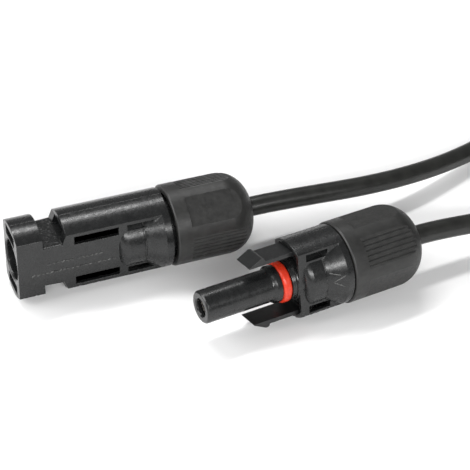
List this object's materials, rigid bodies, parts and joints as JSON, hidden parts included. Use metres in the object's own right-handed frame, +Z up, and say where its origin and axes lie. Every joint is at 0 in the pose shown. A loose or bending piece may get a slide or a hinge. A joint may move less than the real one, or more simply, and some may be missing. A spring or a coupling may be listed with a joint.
{
  "type": "solar cable connector",
  "caption": "Pair of single-pole solar cable couplers, slotted male body with contact pin and female body with probe, sprung latches and red seal, domed gland nuts, joined by a coiled cable.",
  "frame": {"origin": "middle of the base of the box around the two couplers, on the surface they lie on", "axes": "+X along the male coupler's axis from its mating end to its cable, +Y from the female coupler to the male coupler, +Z up"},
  "size_m": [0.2152, 0.0707, 0.02],
  "materials": {
    "black_housing": "moulded black polymer, satin covers and matte flats",
    "black_nut": "fine matte black polymer",
    "red_seal": "satin red silicone rubber",
    "black_rubber": "matte",
    "clamp_plastic": "satin",
    "tinned_copper": "satin tin plate",
    "spring_steel": "brushed",
    "copper_strands": "tinned strands",
    "core_insulation": "natural cross-linked polyolefin",
    "cable_jacket": "satin black jacket",
    "tie": "woven strap"
  },
  "bodies": {
    "couplers": {"male_housing": "black_housing", "male_contact_clip": "spring_steel", "male_conductor": "copper_strands", "male_core_insulation": "core_insulation", "male_seal": "black_rubber", "male_cable": "cable_jacket", "female_housing": "black_housing", "female_contact_clip": "spring_steel", "female_conductor": "copper_strands", "female_core_insulation": "core_insulation", "female_seal": "black_rubber", "female_cable": "cable_jacket", "male_contact_pin": "tinned_copper", "female_contact_socket": "tinned_copper", "female_contact_band": "tinned_copper", "probe_o_ring": "red_seal", "cable_coil": "cable_jacket", "coil_tie": "tie"},
    "male_clamp": {"male_clamp_cage": "clamp_plastic"},
    "male_nut": {"male_nut": "black_nut"},
    "female_clamp": {"female_clamp_cage": "clamp_plastic"},
    "female_nut": {"female_nut": "black_nut"},
    "upper_latch": {"upper_latch": "black_housing"},
    "lower_latch": {"lower_latch": "black_housing"}
  },
  "joints": [
    {"name": "male_clamp_slide", "type": "slide", "parent": "couplers", "child": "male_clamp", "axis": [1, 0, 0], "range_m": [0, 0.0045]},
    {"name": "male_nut_turn", "type": "hinge", "parent": "male_clamp", "child": "male_nut", "pos_m": [0.00225, 0.01373, 0.01], "axis": [1, 0, 0], "range_deg": [0, 1080]},
    {"name": "female_clamp_slide", "type": "slide", "parent": "couplers", "child": "female_clamp", "axis": [0.9923, 0.1241, 0], "range_m": [0, 0.0045]},
    {"name": "female_nut_turn", "type": "hinge", "parent": "female_clamp", "child": "female_nut", "pos_m": [0.03444, -0.01261, 0.01], "axis": [0.9923, 0.1241, 0], "range_deg": [0, 1080]},
    {"name": "upper_latch_flex", "type": "hinge", "parent": "couplers", "child": "upper_latch", "pos_m": [0.01371, -0.01367, 0.01755], "axis": [0.1217, -0.9727, 0.1977], "range_deg": [0, 6], "stiffness_Nm_per_rad": 0.02},
    {"name": "lower_latch_flex", "type": "hinge", "parent": "couplers", "child": "lower_latch", "pos_m": [0.01409, -0.01669, 0.00245], "axis": [-0.1217, 0.9727, -0.1977], "range_deg": [0, 6], "stiffness_Nm_per_rad": 0.02}
  ],
  "couplings": [
    {"joint": "male_nut_turn", "follows": "male_clamp_slide", "rad_per_m": 4188.8},
    {"joint": "female_nut_turn", "follows": "female_clamp_slide", "rad_per_m": 4188.8}
  ]
}
